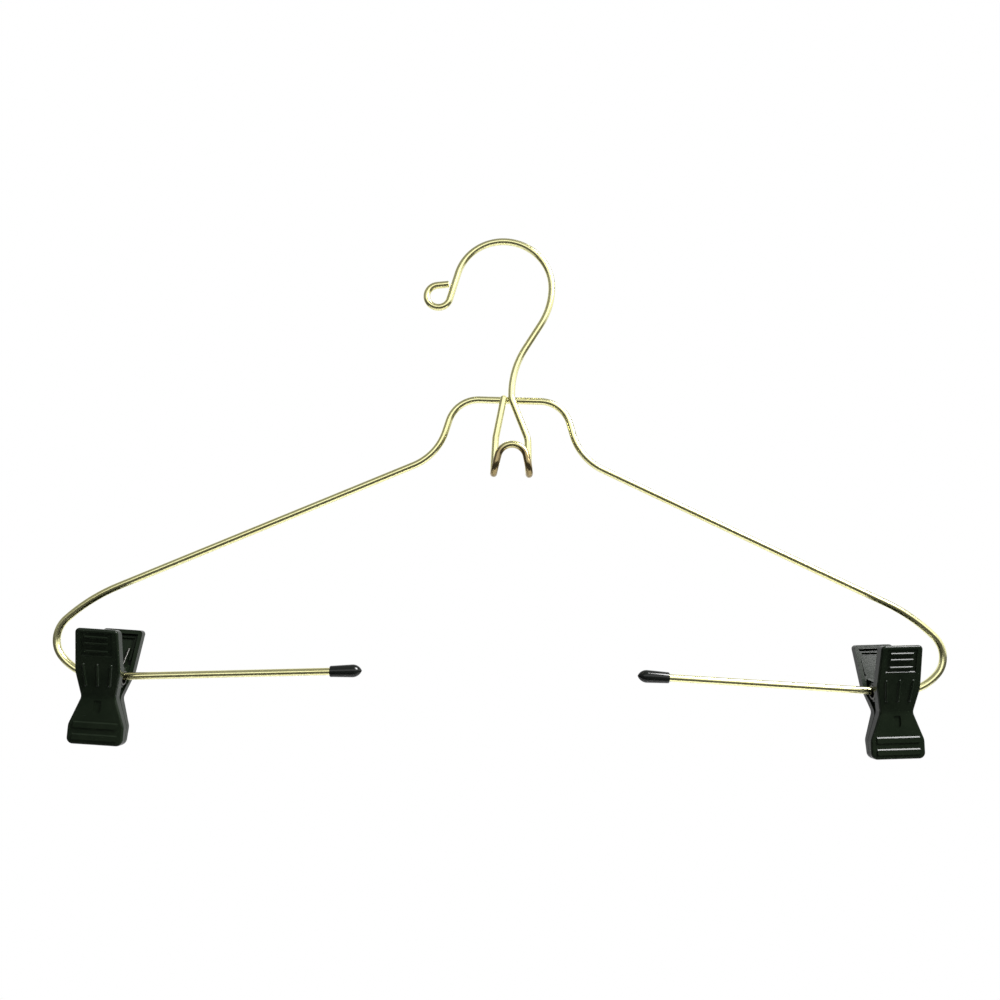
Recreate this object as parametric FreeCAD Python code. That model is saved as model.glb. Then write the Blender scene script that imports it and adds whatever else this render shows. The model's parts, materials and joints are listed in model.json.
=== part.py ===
import FreeCAD, Part
import math
import os
from FreeCAD import Vector

# A skirt hanger: two lengths of plated wire welded together, with a spring clip sliding on each lower bar.
# Millimetres. +Z is up, +X runs along the hanger and -Y faces the viewer.
# The origin is the inside of the hook's crown, the point that rests on the rail.

# Wire stock and welds
wire_diameter = 3.5
weld_gap = 0.15
weld_radius = 1.6

# Frame wire, from the middle of the top bar outwards
overall_width = 432.0
top_flat = 30.9
top_bend_radius = 15.6
riser_angle = 73.8
riser_length = 5.9
shoulder_bend_radius = 28.1
shoulder_slope = 24.28
end_ease_radius = 77.4
end_ease_slope = 44.88
end_bend_radius = 13.06
bar_ease_radius = 27.63
bar_ease_turn = 50.44
bar_rise = 2.46
bar_opening = 132.6
opening_left_shift = 2.1

# Hook wire above the top bar
hook_radius = 24.6
hook_heel_radius = 38.8
neck_slant = 30.7
neck_bend_radius = 45.0
neck_offset = 5.0
neck_shift = 0.64
neck_straight = 3.1
lip_slant = 15.2
lip_length = 14.7
curl_radius = 5.93
curl_turn = 247.2
curl_end_length = 6.0

# Hook wire below the top bar: two legs and the forward J hook for a second hanger
leg_bend_radius = 10.0
leg_spread = 8.53
leg_spread_drop = 20.6
leg_tilt = 2.1
cascade_depth = 39.4
j_radius = 5.2
j_width = 17.4
arch_lean = 12.7
arch_straight = 3.1
left_leg_straight = 19.0
left_leg_gap = 0.4
left_leg_overshoot = 0.8

# Vinyl tips on the cut ends of the bars
tip_length = 15.3
tip_diameter = 6.1
tip_nose_length = 4.5
tip_lip_diameter = 5.3
tip_lip_round = 0.5
tip_end_wall = 2.5
tip_bore_clearance = 0.05

# Clip halves, measured from the pivot axis
left_clip_inset = 24.7
right_clip_inset = 27.2
clip_cant = 5.15
handle_height = 22.4
handle_half_width = 9.8
handle_corner_radius = 2.0
shoulder_height = 2.5
shoulder_half_width = 10.5
shoulder_corner_radius = 5.0
waist_drop = 9.3
waist_half_width = 8.05
waist_corner_radius = 5.0
flare_drop = 22.2
flare_half_width = 13.0
flare_corner_radius = 6.0
jaw_drop = 31.2
jaw_half_width = 13.05
jaw_corner_radius = 3.0
handle_top_depth = 17.6
waist_depth = 5.2
face_bend_radius = 8.0
jaw_tip_depth = 3.0
jaw_gap = 0.3
jaw_face_height = 13.5
face_wall = 2.0
side_wall = 1.9
side_depth = 4.8
throat_floor = 1.5
edge_round = 1.0

# Marks on the outer face of a clip half
pad_recess = 0.4
pad_half_width = 7.2
pad_bottom = 9.8
pad_top_margin = 1.9
rib_half_width = 5.3
rib_thickness = 1.1
rib_rise = 0.4
rib_tops = (19.0, 16.1, 12.6)
mark_bevel_share = 1.1
ridge_top = 6.5
ridge_foot_drop = 3.5
ridge_reach = 6.45
ridge_foot_share = 0.85
ridge_radius = 0.8
ridge_sink = 0.35
slot_half_width = 1.7
slot_top_drop = 10.8
slot_length = 5.8
slot_recess = 0.6
slot_round_shares = (0.9, 0.9, 0.4, 0.4)
jaw_bar_half_width = 10.3
jaw_bar_height = 2.9
jaw_bar_rise = 0.5
jaw_bar_drops = (22.05, 27.65)

# Inside of a clip half: teeth, spring channel and pivot ears
tooth_count = 6
tooth_depth = 0.6
channel_half_width = 6.3
channel_rib = 1.0
channel_rise = 1.2
channel_foot = 8.0
ear_radius = 4.5
ear_thickness = 1.4
ear_gap = 0.3
ear_outer_reach = 8.3
ear_web_rise = 6.0
ear_web_drop = 3.9
ear_root = 0.6

# Pivot tube and torsion spring of a clip
tube_bar_clearance = 0.93
tube_wall = 0.4
tube_ear_clearance = 0.15
tube_end_play = 0.15
tube_flange_radius = 3.45
tube_flange = 0.5
spring_wire = 1.2
spring_tube_gap = 0.3
spring_pitch = 1.75
spring_turns = 4
spring_leg = 17.0
spring_leg_gap = 0.3

# Overrun of every cut and a length below which a run is left out
overrun = 1.0
least_run = 0.001

# Values worked out from the sizes above
wire_radius = wire_diameter / 2
tube_bore_radius = wire_radius + tube_bar_clearance
tube_radius = tube_bore_radius + tube_wall
ear_bore_radius = tube_radius + tube_ear_clearance
tube_half_length = ear_outer_reach + tube_end_play + tube_flange
spring_radius = tube_radius + spring_tube_gap + spring_wire / 2
frame_plane = wire_diameter + weld_gap
AXIS_X = Vector(1, 0, 0)
AXIS_Y = Vector(0, 1, 0)
AXIS_Z = Vector(0, 0, 1)


def sin(angle):
    return math.sin(math.radians(angle))


def cos(angle):
    return math.cos(math.radians(angle))


def tan(angle):
    return math.tan(math.radians(angle))


def in_plane(angle):
    """Unit vector in the hanger's plane, at an angle up from +X."""
    return Vector(cos(angle), 0, sin(angle))


class WirePath:
    """A bent wire's centreline: straight runs joined by tangent arcs."""

    def __init__(self, start, heading):
        self.point = Vector(start)
        self.heading = Vector(heading)
        self.edges = []
        self.length = 0

    def run(self, length):
        """Go straight on."""
        if length < least_run:
            return self
        end = self.point + self.heading * length
        self.edges.append(Part.LineSegment(self.point, end).toShape())
        self.point = end
        self.length += length
        return self

    def bend(self, radius, angle, toward):
        """Turn by an angle about a centre that lies one radius away in the direction given."""
        centre = self.point + toward * radius

        def at(turned):
            return centre - toward * (radius * cos(turned)) + self.heading * (radius * sin(turned))

        end = at(angle)
        self.edges.append(Part.Arc(self.point, at(angle / 2), end).toShape())
        self.heading = self.heading * cos(angle) + toward * sin(angle)
        self.point = end
        self.length += radius * math.radians(angle)
        return self


def wire_tube(edges, diameter, start, heading):
    """Sweep a round section along joined edges."""
    path = Part.Wire(Part.__sortEdges__(edges))
    section = Part.Wire([Part.Circle(start, heading, diameter / 2).toShape()])
    return path.makePipeShell([section], True, False)


def rounded_face(corners, radii, origin, along, up):
    """Flat face with a rounded outline, in the plane of two directions."""
    count = len(corners)
    places = [origin + along * a + up * b for a, b in corners]
    edges = []
    starts = []
    ends = []
    for i, place in enumerate(places):
        before = (places[i - 1] - place).normalize()
        after = (places[(i + 1) % count] - place).normalize()
        half = before.getAngle(after) / 2
        if radii[i] <= 0:
            starts.append(place)
            ends.append(place)
            continue
        reach = radii[i] / math.tan(half)
        middle = (before + after).normalize() * (radii[i] / math.sin(half) - radii[i])
        starts.append(place + before * reach)
        ends.append(place + after * reach)
        edges.append(Part.Arc(starts[i], place + middle, ends[i]).toShape())
    for i in range(count):
        following = starts[(i + 1) % count]
        if (following - ends[i]).Length > least_run:
            edges.append(Part.LineSegment(ends[i], following).toShape())
    return Part.Face(Part.Wire(Part.__sortEdges__(edges)))


def prism(corners, origin, along, up, push):
    """Straight-sided prism on a flat outline."""
    return rounded_face(corners, [0] * len(corners), origin, along, up).extrude(push)


# Hook wire

def hook_crown():
    return Vector(0, 0, wire_radius)


def hook_to_neck():
    """Path from the crown down to the foot of the neck's lower bend."""
    path = WirePath(hook_crown(), AXIS_X)
    path.bend(hook_radius, 90, -AXIS_Z)
    path.bend(hook_heel_radius, neck_slant, -AXIS_X)
    bend_width = neck_bend_radius * (1 - cos(neck_slant))
    path.run((path.point.x - bend_width - neck_offset) / sin(neck_slant))
    path.bend(neck_bend_radius, neck_slant, in_plane(-neck_slant))
    return path


def top_bar_height():
    return hook_to_neck().point.z - neck_straight


def hook_lip():
    """Path from the crown over the open side to the curled eye."""
    path = WirePath(hook_crown(), -AXIS_X)
    path.bend(hook_radius, 90 - lip_slant, -AXIS_Z)
    path.run(lip_length)
    path.bend(curl_radius, curl_turn, in_plane(180 - lip_slant))
    path.run(curl_end_length)
    return path


def make_hook_wire():
    bar_height = top_bar_height()
    lip = hook_lip()
    path = hook_to_neck()
    # Right leg: out from the neck, then nearly straight down
    spread = math.degrees(math.atan2(leg_spread, leg_spread_drop))
    first_reach = leg_bend_radius * tan(spread / 2)
    second_turn = spread - leg_tilt
    second_reach = leg_bend_radius * tan(second_turn / 2)
    path.run(neck_straight - first_reach)
    path.bend(leg_bend_radius, spread, AXIS_X)
    path.run(math.hypot(leg_spread, leg_spread_drop) - first_reach - second_reach)
    path.bend(leg_bend_radius, second_turn, in_plane(180 + spread))
    j_start = bar_height - cascade_depth + j_radius * cos(leg_tilt)
    path.run((path.point.z - j_start) / cos(leg_tilt))
    # J hook: forward, up into the arch, down and back again
    path.bend(j_radius, 90, -AXIS_Y)
    middle = path.point.x - j_width / 2
    path.bend(j_radius, 90, in_plane(90 + arch_lean))
    path.run(arch_straight)
    arch_radius = (path.point.x - middle) / cos(arch_lean)
    path.bend(arch_radius, 180 - 2 * arch_lean, in_plane(180 + arch_lean))
    path.run(arch_straight)
    path.bend(j_radius, 90, AXIS_Y)
    path.bend(j_radius, 90, in_plane(90 - leg_tilt))
    # Left leg: up to the front of the top bar, beside the neck
    knee_height = bar_height - cascade_depth + left_leg_straight
    knee = path.point + path.heading * ((knee_height - path.point.z) / path.heading.z)
    aim = Vector(neck_offset - wire_diameter - left_leg_gap, 0, bar_height) - knee
    turn = math.degrees(math.atan2(aim.x, aim.z)) - leg_tilt
    reach = leg_bend_radius * tan(turn / 2)
    path.run((knee - path.point).Length - reach)
    path.bend(leg_bend_radius, turn, in_plane(-leg_tilt))
    path.run(aim.Length - reach + left_leg_overshoot)
    print("hook wire length", round(path.length + lip.length, 1), "left leg ends at", path.point)
    edges = lip.edges + path.edges
    return wire_tube(edges, wire_diameter, lip.point, lip.heading)


# Frame wire

def frame_middle():
    return Vector(neck_offset - neck_shift, frame_plane, top_bar_height())


def half_frame_path(side):
    """Half of the frame, from the middle of the top bar to the end of the lower bar.

    The path is always drawn to the right; side is 1 for the right half and -1 for the left half's mirror image.
    """
    middle = frame_middle()

    def to_widest(shoulder_length):
        path = WirePath(middle, AXIS_X)
        path.run(top_flat / 2)
        path.bend(top_bend_radius, riser_angle, -AXIS_Z)
        path.run(riser_length)
        path.bend(shoulder_bend_radius, riser_angle - shoulder_slope, in_plane(90 - riser_angle))
        path.run(shoulder_length)
        path.bend(end_ease_radius, end_ease_slope - shoulder_slope, in_plane(270 - shoulder_slope))
        return path

    # The shoulder's length follows from the overall width
    bare = to_widest(0)
    widest = bare.point.x + end_bend_radius * (1 - sin(end_ease_slope)) - middle.x
    path = to_widest((overall_width / 2 - wire_radius - widest) / cos(shoulder_slope))
    end_turn = 180 + bar_rise - end_ease_slope - bar_ease_turn
    path.bend(end_bend_radius, end_turn, in_plane(270 - end_ease_slope))
    path.bend(bar_ease_radius, bar_ease_turn, in_plane(90 - bar_rise + bar_ease_turn))
    bar_start = path.point
    nose_x = middle.x + bar_opening / 2 - side * opening_left_shift
    bar_end_x = nose_x + tip_end_wall * cos(bar_rise)
    path.run((path.point.x - bar_end_x) / cos(bar_rise))
    return path, bar_start


def make_frame_wire():
    middle = frame_middle()
    halves = []
    for side in (1, -1):
        path, bar_start = half_frame_path(side)
        halves.append(wire_tube(path.edges, wire_diameter, middle, AXIS_X))
    whole = halves[0].fuse(halves[1].mirror(middle, AXIS_X)).removeSplitter()
    return whole.Solids[0]


def bar_frame(side):
    """Placement of a clip, canted where its tube meets the end bend. side is 1 on the right, -1 on the left."""
    path, bar_start = half_frame_path(side)
    middle = frame_middle()
    inset = left_clip_inset if side < 0 else right_clip_inset
    widest = middle.x + overall_width / 2 - wire_radius
    back = (bar_start.x - (widest - inset)) / cos(bar_rise)
    pivot = bar_start + path.heading * back
    across = Vector(middle.x + side * (pivot.x - middle.x), pivot.y, pivot.z)
    return FreeCAD.Placement(across, FreeCAD.Rotation(AXIS_Y, side * (bar_rise - clip_cant)))


def make_weld_nuggets(hook, frame):
    """Two nuggets that fill the gap where the hook wire crosses the front of the top bar."""
    height = top_bar_height()
    bend_shift = leg_bend_radius * (1 / cos(math.degrees(math.atan2(leg_spread, leg_spread_drop)) / 2) - 1)
    places = (neck_offset + bend_shift, neck_offset - wire_diameter - left_leg_gap)
    nuggets = []
    for place in places:
        blank = Part.makeCylinder(weld_radius, frame_plane, Vector(place, 0, height), AXIS_Y)
        nuggets.append(blank.cut(hook).cut(frame))
    solids = [solid for nugget in nuggets for solid in nugget.Solids]
    return Part.makeCompound(solids)


# Vinyl tips

def make_tip(side):
    """Blind cap: ogive nose, slight taper to a rounded lip, bored for the wire."""
    path, bar_start = half_frame_path(side)
    middle = frame_middle()
    end = Vector(middle.x + side * (path.point.x - middle.x), path.point.y, path.point.z)
    outward = Vector(-side * path.heading.x, 0, -path.heading.z)
    nose = end - outward * tip_end_wall
    radial = AXIS_Y
    crown = tip_diameter / 2
    nose_radius = (crown ** 2 + tip_nose_length ** 2) / (2 * crown)
    sweep = math.degrees(math.asin(tip_nose_length / nose_radius))

    def at(distance, radius):
        return nose + outward * distance + radial * radius

    nose_middle = at(tip_nose_length - nose_radius * sin(sweep / 2), crown - nose_radius * (1 - cos(sweep / 2)))
    bore = wire_radius + tip_bore_clearance
    depth = tip_end_wall - tip_bore_clearance
    lip = tip_lip_diameter / 2
    edges = [
        Part.Arc(at(0, 0), nose_middle, at(tip_nose_length, crown)).toShape(),
        Part.LineSegment(at(tip_nose_length, crown), at(tip_length, lip)).toShape(),
        Part.LineSegment(at(tip_length, lip), at(tip_length, bore)).toShape(),
        Part.LineSegment(at(tip_length, bore), at(depth, bore)).toShape(),
        Part.LineSegment(at(depth, bore), at(depth, 0)).toShape(),
        Part.LineSegment(at(depth, 0), at(0, 0)).toShape(),
    ]
    cap = Part.Face(Part.Wire(edges)).revolve(nose, outward, 360)
    rim = [edge for edge in cap.Edges if is_circle(edge, at(tip_length, 0), lip)]
    return cap.makeFillet(tip_lip_round, rim)


def is_circle(edge, centre, radius):
    """True for a whole or part circle with this centre and radius."""
    if edge.Degenerated or not isinstance(edge.Curve, Part.Circle):
        return False
    return (edge.Curve.Center - centre).Length < least_run and abs(edge.Curve.Radius - radius) < least_run


# Clip halves: X along the bar, the front half's outer face towards -Y

def outer_depth(height):
    """Distance of the outer face from the clip's middle plane, at a height over the pivot."""
    if height < -waist_drop:
        share = (height + jaw_drop) / (jaw_drop - waist_drop)
        return jaw_tip_depth + (waist_depth - jaw_tip_depth) * share
    share = (height + waist_drop) / (handle_height + waist_drop)
    return waist_depth + (handle_top_depth - waist_depth) * share


def layer(inside, outside, low, high):
    """Slab that follows the outer face, between two distances out from it and between two heights."""
    heights = [low] + [h for h in (-waist_drop,) if low < h < high] + [high]
    corners = [(-outer_depth(h) - outside, h) for h in heights]
    corners += [(-outer_depth(h) - inside, h) for h in reversed(heights)]
    reach = jaw_half_width + overrun
    return prism(corners, Vector(-reach, 0, 0), AXIS_Y, AXIS_Z, AXIS_X * (2 * reach))


def front_prism(corners, radii=None):
    """Outline seen from the front, pushed right through the clip."""
    reach = handle_top_depth + overrun
    radii = radii or [0] * len(corners)
    face = rounded_face(corners, radii, Vector(0, -reach, 0), AXIS_X, AXIS_Z)
    return face.extrude(AXIS_Y * (2 * reach))


def clip_outline(inset):
    """Front outline of a clip half, drawn in by an inset."""
    right = [
        (handle_half_width - inset, handle_height - inset),
        (shoulder_half_width - inset, shoulder_height),
        (waist_half_width - inset, -waist_drop),
        (flare_half_width - inset, -flare_drop),
        (jaw_half_width - inset, -jaw_drop + inset),
    ]
    left = [(-x, z) for x, z in reversed(right)]
    radii = [
        max(handle_corner_radius - inset, 0),
        shoulder_corner_radius,
        waist_corner_radius,
        flare_corner_radius,
        max(jaw_corner_radius - inset, 0),
    ]
    return front_prism(right + left, radii + radii[::-1])


def shell_blank():
    """Clip half as a dished plate: outer face, side walls and the jaw's full thickness."""
    jaw_face_top = jaw_face_height - jaw_drop
    throat = -waist_drop - throat_floor
    side = [
        (-outer_depth(-jaw_drop), -jaw_drop),
        (-outer_depth(-waist_drop), -waist_drop),
        (-outer_depth(handle_height), handle_height),
        (-outer_depth(handle_height) + side_depth, handle_height),
        (-outer_depth(throat) + side_depth, throat),
        (-jaw_gap / 2, jaw_face_top),
        (-jaw_gap / 2, -jaw_drop),
    ]
    rounds = [0, face_bend_radius, 0, 0, 0, 0, 0]
    reach = jaw_half_width + overrun
    profile = rounded_face(side, rounds, Vector(-reach, 0, 0), AXIS_Y, AXIS_Z)
    blank = profile.extrude(AXIS_X * (2 * reach)).common(clip_outline(0))
    return blank.makeFillet(edge_round, outer_rim(blank))


def outer_rim(blank):
    """Edges round the outer face, without the edges between its own parts."""
    edges = []
    for face in blank.Faces:
        u_low, u_high, v_low, v_high = face.ParameterRange
        if face.normalAt((u_low + u_high) / 2, (v_low + v_high) / 2).y < -cos(60):
            edges += face.Edges
    return [edge for edge in edges if sum(edge.isSame(other) for other in edges) == 1]


def shell_cavity():
    """Hollow behind the face plate, open towards the clip's middle."""
    foot = -waist_drop - throat_floor - face_wall
    heights = (handle_height + overrun, -waist_drop, foot)
    corners = [(-outer_depth(h) + face_wall, h) for h in heights]
    corners += [(jaw_tip_depth, foot), (jaw_tip_depth, handle_height + overrun)]
    reach = jaw_half_width + overrun
    hollow = prism(corners, Vector(-reach, 0, 0), AXIS_Y, AXIS_Z, AXIS_X * (2 * reach))
    return hollow.common(clip_outline(side_wall))


def pivot_relief():
    """Room round the pivot for the other half's ears."""
    reach = jaw_half_width + overrun
    return Part.makeCylinder(ear_radius + ear_gap, 2 * reach, Vector(-reach, 0, 0), AXIS_X)


def box_outline(half_width, low, high):
    return [(-half_width, low), (half_width, low), (half_width, high), (-half_width, high)]


def cross_bar(half_width, low, high, rise):
    """Raised bar across the outer face, with a sloping upper edge."""
    bevel = rise * mark_bevel_share
    bite = face_wall / 2
    corners = [
        (-outer_depth(low) + bite, low),
        (-outer_depth(low) - rise, low),
        (-outer_depth(high - bevel) - rise, high - bevel),
        (-outer_depth(high), high),
        (-outer_depth(high) + bite, high),
    ]
    return prism(corners, Vector(-half_width, 0, 0), AXIS_Y, AXIS_Z, AXIS_X * (2 * half_width))


def pad_cut():
    """Finger pad: a shallow recess with a sloping lower ledge."""
    top = handle_height - pad_top_margin
    slope = pad_bottom + pad_recess * mark_bevel_share
    corners = [
        (-outer_depth(pad_bottom), pad_bottom),
        (-outer_depth(slope) + pad_recess, slope),
        (-outer_depth(top) + pad_recess, top),
        (-outer_depth(top) - overrun, top),
        (-outer_depth(pad_bottom) - overrun, pad_bottom),
    ]
    return prism(corners, Vector(-pad_half_width, 0, 0), AXIS_Y, AXIS_Z, AXIS_X * (2 * pad_half_width))


def ridge(place):
    """Round-topped upright ridge on the waist. place is -1, 0 or 1 across the face."""
    def on_face(across, height):
        return Vector(across, -outer_depth(height) + ridge_sink, height)

    top = on_face(place * ridge_reach, ridge_top - ridge_radius)
    foot = on_face(place * ridge_reach * ridge_foot_share, -ridge_foot_drop)
    along = foot - top
    rod = Part.makeCylinder(ridge_radius, along.Length, top, along)
    for end in (top, foot):
        rod = rod.fuse(Part.makeSphere(ridge_radius, end))
    return rod


def add_marks(half):
    """Finger pad with ribs, waist ridges, slot and jaw bars on the outer face."""
    half = half.cut(pad_cut())
    for top in rib_tops:
        half = half.fuse(cross_bar(rib_half_width, top - rib_thickness, top, rib_rise))
    for drop in jaw_bar_drops:
        low = -drop - jaw_bar_height / 2
        half = half.fuse(cross_bar(jaw_bar_half_width, low, low + jaw_bar_height, jaw_bar_rise))
    for place in (-1, 0, 1):
        half = half.fuse(ridge(place))
    slot = box_outline(slot_half_width, -slot_top_drop - slot_length, -slot_top_drop)
    rounds = [slot_half_width * share for share in slot_round_shares]
    whole = (-jaw_drop - overrun, handle_height + overrun)
    slot_cut = front_prism(slot, rounds).common(layer(-slot_recess, overrun, *whole))
    return half.cut(slot_cut)


def add_teeth(half):
    """V grooves across the gripping face leave rows of teeth between plain rims."""
    pitch = jaw_face_height / tooth_count
    reach = jaw_half_width - side_wall
    for row in range(tooth_count):
        middle = -jaw_drop + pitch * (row + 1 / 2)
        groove = [
            (-jaw_gap / 2 - tooth_depth, middle),
            (-jaw_gap / 2 + tooth_depth, middle - pitch / 2),
            (-jaw_gap / 2 + tooth_depth, middle + pitch / 2),
        ]
        half = half.cut(prism(groove, Vector(-reach, 0, 0), AXIS_Y, AXIS_Z, AXIS_X * (2 * reach)))
    return half


def add_channel(half):
    """Arched rib on the inner face of the handle, which keeps the spring's leg in place."""
    top = handle_height - side_wall
    slab = layer(-face_wall - channel_rise, -face_wall / 2, channel_foot, top)
    outside = front_prism(box_outline(channel_half_width + channel_rib, channel_foot, top - channel_rib))
    inside = front_prism(box_outline(channel_half_width, channel_foot - overrun, top - 2 * channel_rib))
    return half.fuse(slab.common(outside).cut(inside))


def make_ear(start):
    """Pivot ear: a bored disc with a web to the face plate, from one place along X."""
    disc = Part.makeCylinder(ear_radius, ear_thickness, Vector(start, 0, 0), AXIS_X)
    root = face_wall - ear_root
    web = prism([
        (0, ear_radius),
        (-outer_depth(ear_web_rise) + root, ear_web_rise),
        (-outer_depth(-ear_web_drop) + root, -ear_web_drop),
        (0, -ear_radius),
    ], Vector(start, 0, 0), AXIS_Y, AXIS_Z, AXIS_X * ear_thickness)
    return disc.fuse(web)


def make_clip_half():
    """Front half of a clip, with an outer ear on the left and an inner ear on the right."""
    half = shell_blank().cut(shell_cavity()).cut(pivot_relief())
    half = add_marks(half)
    half = add_teeth(half)
    half = add_channel(half)
    inner_reach = ear_outer_reach - ear_thickness - ear_gap
    half = half.fuse(make_ear(-ear_outer_reach))
    half = half.fuse(make_ear(inner_reach - ear_thickness))
    bore_reach = jaw_half_width + overrun
    bore = Part.makeCylinder(ear_bore_radius, 2 * bore_reach, Vector(-bore_reach, 0, 0), AXIS_X)
    half = half.cut(bore).removeSplitter()
    return half.Solids[0]


def make_pivot_tube():
    """Thin steel tube on the bar, flared to a flange at both ends."""
    body = Part.makeCylinder(tube_radius, 2 * tube_half_length, Vector(-tube_half_length, 0, 0), AXIS_X)
    for start in (-tube_half_length, tube_half_length - tube_flange):
        body = body.fuse(Part.makeCylinder(tube_flange_radius, tube_flange, Vector(start, 0, 0), AXIS_X))
    length = tube_half_length + overrun
    body = body.cut(Part.makeCylinder(tube_bore_radius, 2 * length, Vector(-length, 0, 0), AXIS_X))
    return body.removeSplitter().Solids[0]


# Torsion spring

def biarc(start, start_heading, end, end_heading):
    """Two tangent arcs between two points with known headings."""
    across = end - start
    both = start_heading + end_heading
    a = 2 * (start_heading.dot(end_heading) - 1)
    b = -2 * across.dot(both)
    reach = (-b - math.sqrt(b * b - 4 * a * across.dot(across))) / (2 * a)
    first = start + start_heading * reach
    second = end - end_heading * reach
    joint = (first + second) / 2
    arcs = []
    for begin, corner, finish in ((start, first, joint), (joint, second, end)):
        chord = (begin + finish) / 2
        height = (corner - chord).Length
        half = (begin - chord).Length
        middle = chord + (corner - chord) / height * (half * math.tan(math.atan2(height, half) / 2))
        arcs.append(Part.Arc(begin, middle, finish).toShape())
    return arcs


def make_spring():
    """Coil round the tube, with a straight leg up along the inner face of each handle."""
    lean = math.degrees(math.atan2(handle_top_depth - waist_depth, handle_height + waist_drop))
    face = outer_depth(0) * cos(lean) - face_wall - spring_wire / 2 - spring_leg_gap
    arm = math.hypot(spring_radius, spring_leg)
    leg_lean = lean + math.degrees(math.asin(face / arm) - math.atan2(spring_radius, spring_leg))
    first = 180 + leg_lean
    last = 360 - leg_lean + 360 * spring_turns
    rise = spring_pitch / 360
    middle = (first + last) / 2

    def place(angle):
        return Vector((angle - middle) * rise, spring_radius * cos(angle), spring_radius * sin(angle))

    def heading(angle):
        around = math.radians(1) * spring_radius
        return Vector(rise, -around * sin(angle), around * cos(angle)).normalize()

    quarters = max(math.ceil((last - first) / 90), 1)
    angles = [first + (last - first) * i / quarters for i in range(quarters + 1)]
    start = place(first) - heading(first) * spring_leg
    finish = place(last) + heading(last) * spring_leg
    edges = [Part.LineSegment(start, place(first)).toShape()]
    for near, far in zip(angles, angles[1:]):
        edges += biarc(place(near), heading(near), place(far), heading(far))
    edges.append(Part.LineSegment(place(last), finish).toShape())
    print("spring gap to itself", round(least_self_gap(edges, spring_wire), 3))
    return wire_tube(edges, spring_wire, start, heading(first))


def least_self_gap(edges, diameter):
    """Least distance between turns of a tube, measured on points along its centreline."""
    points = []
    along = 0
    for edge in edges:
        for point in edge.discretize(Distance=diameter / 4)[:-1]:
            points.append((along + (point - edge.valueAt(edge.FirstParameter)).Length, point))
        along += edge.Length
    half_turn = math.pi * spring_radius
    gaps = [(q - p).Length for i, (s, p) in enumerate(points) for t, q in points[i + 1:] if t - s > half_turn]
    return min(gaps) - diameter


def main():
    os.makedirs("parts", exist_ok=True)
    hook = make_hook_wire()
    frame = make_frame_wire()
    pieces = {
        "frame_wire": frame,
        "hook_wire": hook,
        "weld_nuggets": make_weld_nuggets(hook, frame),
        "left_tip": make_tip(-1),
        "right_tip": make_tip(1),
    }
    half = make_clip_half()
    other_half = half.rotated(Vector(0, 0, 0), AXIS_Z, 180)
    clip = {"front_jaw": half, "rear_jaw": other_half, "pivot_tube": make_pivot_tube(), "spring": make_spring()}
    for side, word in ((-1, "left"), (1, "right")):
        placement = bar_frame(side)
        print(word, "pivot", placement.Base, "clip axis", placement.Rotation.multVec(AXIS_X))
        for name, shape in clip.items():
            piece = shape.copy()
            piece.Placement = placement.multiply(piece.Placement)
            pieces[word + "_" + name] = piece
    for name, shape in pieces.items():
        box = shape.BoundBox
        print(name, "valid", shape.isValid(), "solids", len(shape.Solids), "volume", round(shape.Volume, 2),
              "x", round(box.XMin, 2), round(box.XMax, 2), "y", round(box.YMin, 2), round(box.YMax, 2),
              "z", round(box.ZMin, 2), round(box.ZMax, 2))
        shape.exportStep("parts/" + name + ".step")


main()
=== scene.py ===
"""Dresses the skirt hanger: bent plated wire, moulded spring clips, vinyl tips and a plain studio."""

import json
import math

import bmesh
import bpy
import numpy as np
from bpy.props import FloatProperty, FloatVectorProperty, IntProperty, PointerProperty
from mathutils import Matrix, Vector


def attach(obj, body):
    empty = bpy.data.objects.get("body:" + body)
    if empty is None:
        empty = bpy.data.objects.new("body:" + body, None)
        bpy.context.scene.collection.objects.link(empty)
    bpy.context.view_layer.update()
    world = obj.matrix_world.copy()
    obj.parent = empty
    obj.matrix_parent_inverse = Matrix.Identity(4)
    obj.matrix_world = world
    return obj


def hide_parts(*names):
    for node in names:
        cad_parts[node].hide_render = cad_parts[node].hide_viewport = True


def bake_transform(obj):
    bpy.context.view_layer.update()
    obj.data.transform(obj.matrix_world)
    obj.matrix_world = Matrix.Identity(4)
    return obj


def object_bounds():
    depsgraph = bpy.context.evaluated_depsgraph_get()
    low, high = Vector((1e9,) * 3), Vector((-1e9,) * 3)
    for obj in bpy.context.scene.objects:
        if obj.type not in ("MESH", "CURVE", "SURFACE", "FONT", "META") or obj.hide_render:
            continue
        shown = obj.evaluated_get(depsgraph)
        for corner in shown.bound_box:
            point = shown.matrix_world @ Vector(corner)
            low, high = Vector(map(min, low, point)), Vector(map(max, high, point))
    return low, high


bl_info = {
    "name": "Skirt hanger",
    "version": (1, 0, 0),
    "blender": (4, 5, 0),
    "location": "View3D > Sidebar > Hanger",
    "description": "Bends the wires, winds the springs and finishes the clips of a skirt hanger",
    "category": "Object",
}

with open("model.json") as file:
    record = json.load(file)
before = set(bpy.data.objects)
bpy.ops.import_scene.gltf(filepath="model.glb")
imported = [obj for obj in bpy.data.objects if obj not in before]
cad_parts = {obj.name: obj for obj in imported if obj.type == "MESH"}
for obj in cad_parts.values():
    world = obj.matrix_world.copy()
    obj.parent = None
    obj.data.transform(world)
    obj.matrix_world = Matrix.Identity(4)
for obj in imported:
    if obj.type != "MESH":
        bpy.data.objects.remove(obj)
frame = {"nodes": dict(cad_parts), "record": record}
cad_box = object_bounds()

MM = 0.001
X, Y, Z = np.eye(3)
SIDES = {"left": -1, "right": 1}
JOINTS = {joint["name"]: joint for joint in frame["record"]["behaviour"]["joints"]}

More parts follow.
